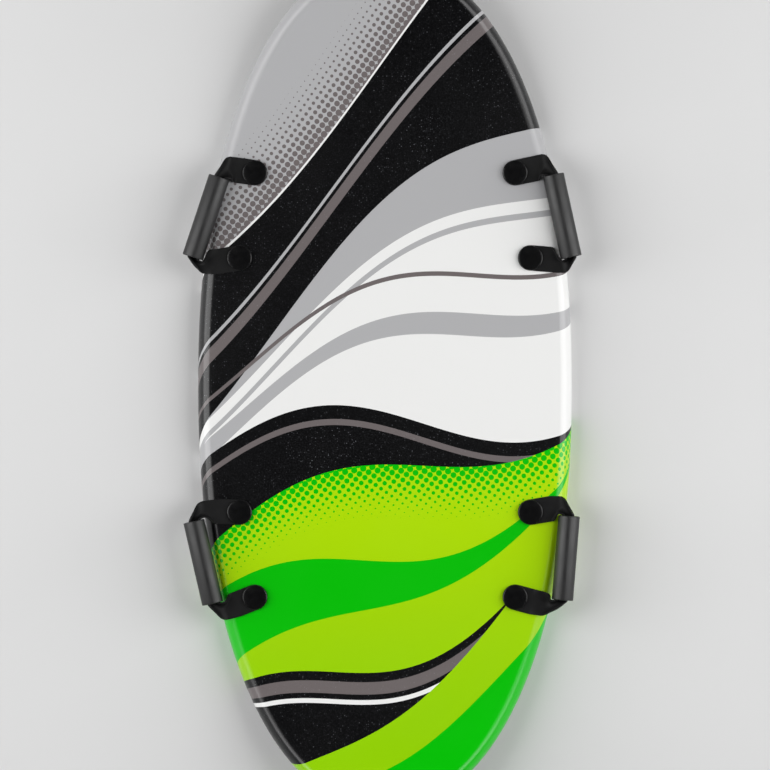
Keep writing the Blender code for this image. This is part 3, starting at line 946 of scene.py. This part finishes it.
def studio():
    """Pale floor, soft lamps to both sides, and a room that is pale low down and dim overhead."""
    bm = bmesh.new()
    bmesh.ops.create_grid(bm, x_segments=1, y_segments=1, size=FLOOR_HALF)
    floor = new_object("floor", to_mesh(bm, "floor"), floor_material())

    soft_lamp("lamp_left", (-LAMP_OUT, LAMP_ALONG, LAMP_UP))
    soft_lamp("lamp_right", (LAMP_OUT, LAMP_ALONG, LAMP_UP))

    world = bpy.data.worlds.new("studio_room")
    bpy.context.scene.world = world
    world.use_nodes = True
    tree = world.node_tree
    direction = tree.nodes.new("ShaderNodeTexCoord").outputs["Generated"]
    split = tree.nodes.new("ShaderNodeSeparateXYZ")
    tree.links.new(direction, split.inputs[0])
    rise = tree.nodes.new("ShaderNodeMapRange")
    rise.interpolation_type = "SMOOTHSTEP"
    for index, value in enumerate((*ROOM_FADE, PALE, ROOM_TOP), 1):
        rise.inputs[index].default_value = value
    tree.links.new(split.outputs[2], rise.inputs[0])
    background = tree.nodes["Background"]
    tree.links.new(rise.outputs[0], background.inputs[0])
    background.inputs[1].default_value = 1.0


def camera():
    data = bpy.data.cameras.new("camera")
    data.sensor_width = 36
    data.lens = data.sensor_width * (CAMERA_HEIGHT - SCALE_LEVEL) / FRAME_WIDTH
    data.clip_end = 100
    obj = bpy.data.objects.new("camera", data)
    bpy.context.scene.collection.objects.link(obj)
    obj.location = (0, 0, CAMERA_HEIGHT)
    bpy.context.scene.camera = obj


def dress(obj, body=None, nodes=()):
    if body:
        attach(obj, body)
    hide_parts(*nodes)


def main():
    bpy.context.scene.view_settings.view_transform = "Standard"
    camera()
    studio()

    film = film_material()
    foam = foam_material()
    rubber = strap_material()
    grip = grip_material()
    moulded = stud_material()

    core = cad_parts["foam_core"]
    core.data.materials.clear()
    core.data.materials.append(foam)
    dress(deck_film(film), "board", ["deck_skin"])
    dress(bottom_sheet(slick_material()), "board", ["slick_bottom"])

    cap = cap_mesh()
    sleeve = sleeve_mesh()
    screw = screw_object("screw", moulded)
    for name, handle in HANDLES.items():
        matrix, stud_spacing = handle_matrix(handle)
        place = Matrix.Translation((handle.side * handle.reach, handle.shift, SLEEVE_HEIGHT))
        splay = Matrix.Rotation(handle.side * handle.splay, 4, "Z")
        lie = Matrix.Rotation(-math.pi / 2, 4, "X")
        tube = new_object(f"sleeve_{name}", sleeve, grip, matrix @ place @ splay @ lie)
        dress(tube, f"grip_{name}", [f"grip_sleeve_{name}"])
        for end_name, end in ENDS.items():
            label = f"{name}_{end_name}"
            spot = Matrix.Translation((*stud_place(handle, end), 0))
            button = new_object(f"button_{label}", cap, moulded, spot)
            dress(button, "board", [f"stud_cap_{label}"])
            bolt = new_object(f"screw_{label}", screw.data, moulded, spot)
            dress(bolt, "board", [f"stud_screw_{label}"])
        band = strap(name, handle, rubber)
        start, end = (
            matrix @ Vector((handle.side * out, 0, STRAP_LEVEL)) for out in (BEND_START, BEND_END)
        )
        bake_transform(band)
        nodes = [f"strap_loop_{name}", *(f"strap_end_{name}_{e}" for e in ENDS)]
        dress(band, nodes=nodes)
    remove(screw)


main()
